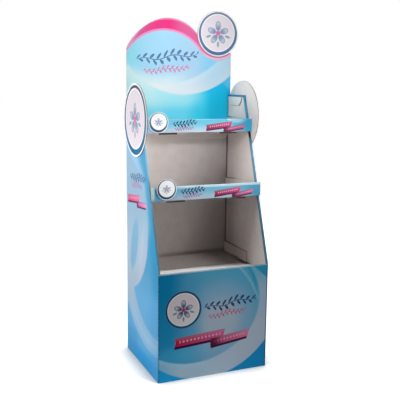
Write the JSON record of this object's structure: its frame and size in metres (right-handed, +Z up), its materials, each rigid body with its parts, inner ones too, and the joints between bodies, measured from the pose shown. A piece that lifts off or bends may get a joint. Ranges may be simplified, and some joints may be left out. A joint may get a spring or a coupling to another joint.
{
  "type": "cardboard display stand",
  "caption": "Free-standing floor display of folded corrugated board: closed base, sloping side walls, shelf trays with front lips, arched header and round badges.",
  "frame": {"origin": "on the floor, at the centre of the body's footprint", "axes": "+Z up, +X to the right of someone facing the front, +Y from the front to the back"},
  "size_m": [0.536, 0.4396, 1.5426],
  "materials": {
    "printed_body": "printed, satin varnish",
    "printed_header": "printed, satin varnish",
    "printed_shelf": "white liner with a printed front lip",
    "printed_disc": "printed, satin varnish",
    "plain_board": "uncoated white liner",
    "kraft_board": "uncoated kraft liner"
  },
  "bodies": {
    "root": {"body_wrap": "printed_body", "back_panel": "plain_board", "base_tray": "kraft_board", "support_board_wide": "kraft_board", "support_board_deep": "kraft_board", "deck_tray": "plain_board", "middle_shelf": "printed_shelf", "top_shelf": "printed_shelf", "header_card": "printed_header", "header_disc": "printed_disc", "left_side_disc": "printed_disc", "right_side_disc": "printed_disc", "top_lip_disc": "printed_disc", "middle_lip_disc": "printed_disc"}
  },
  "joints": []
}
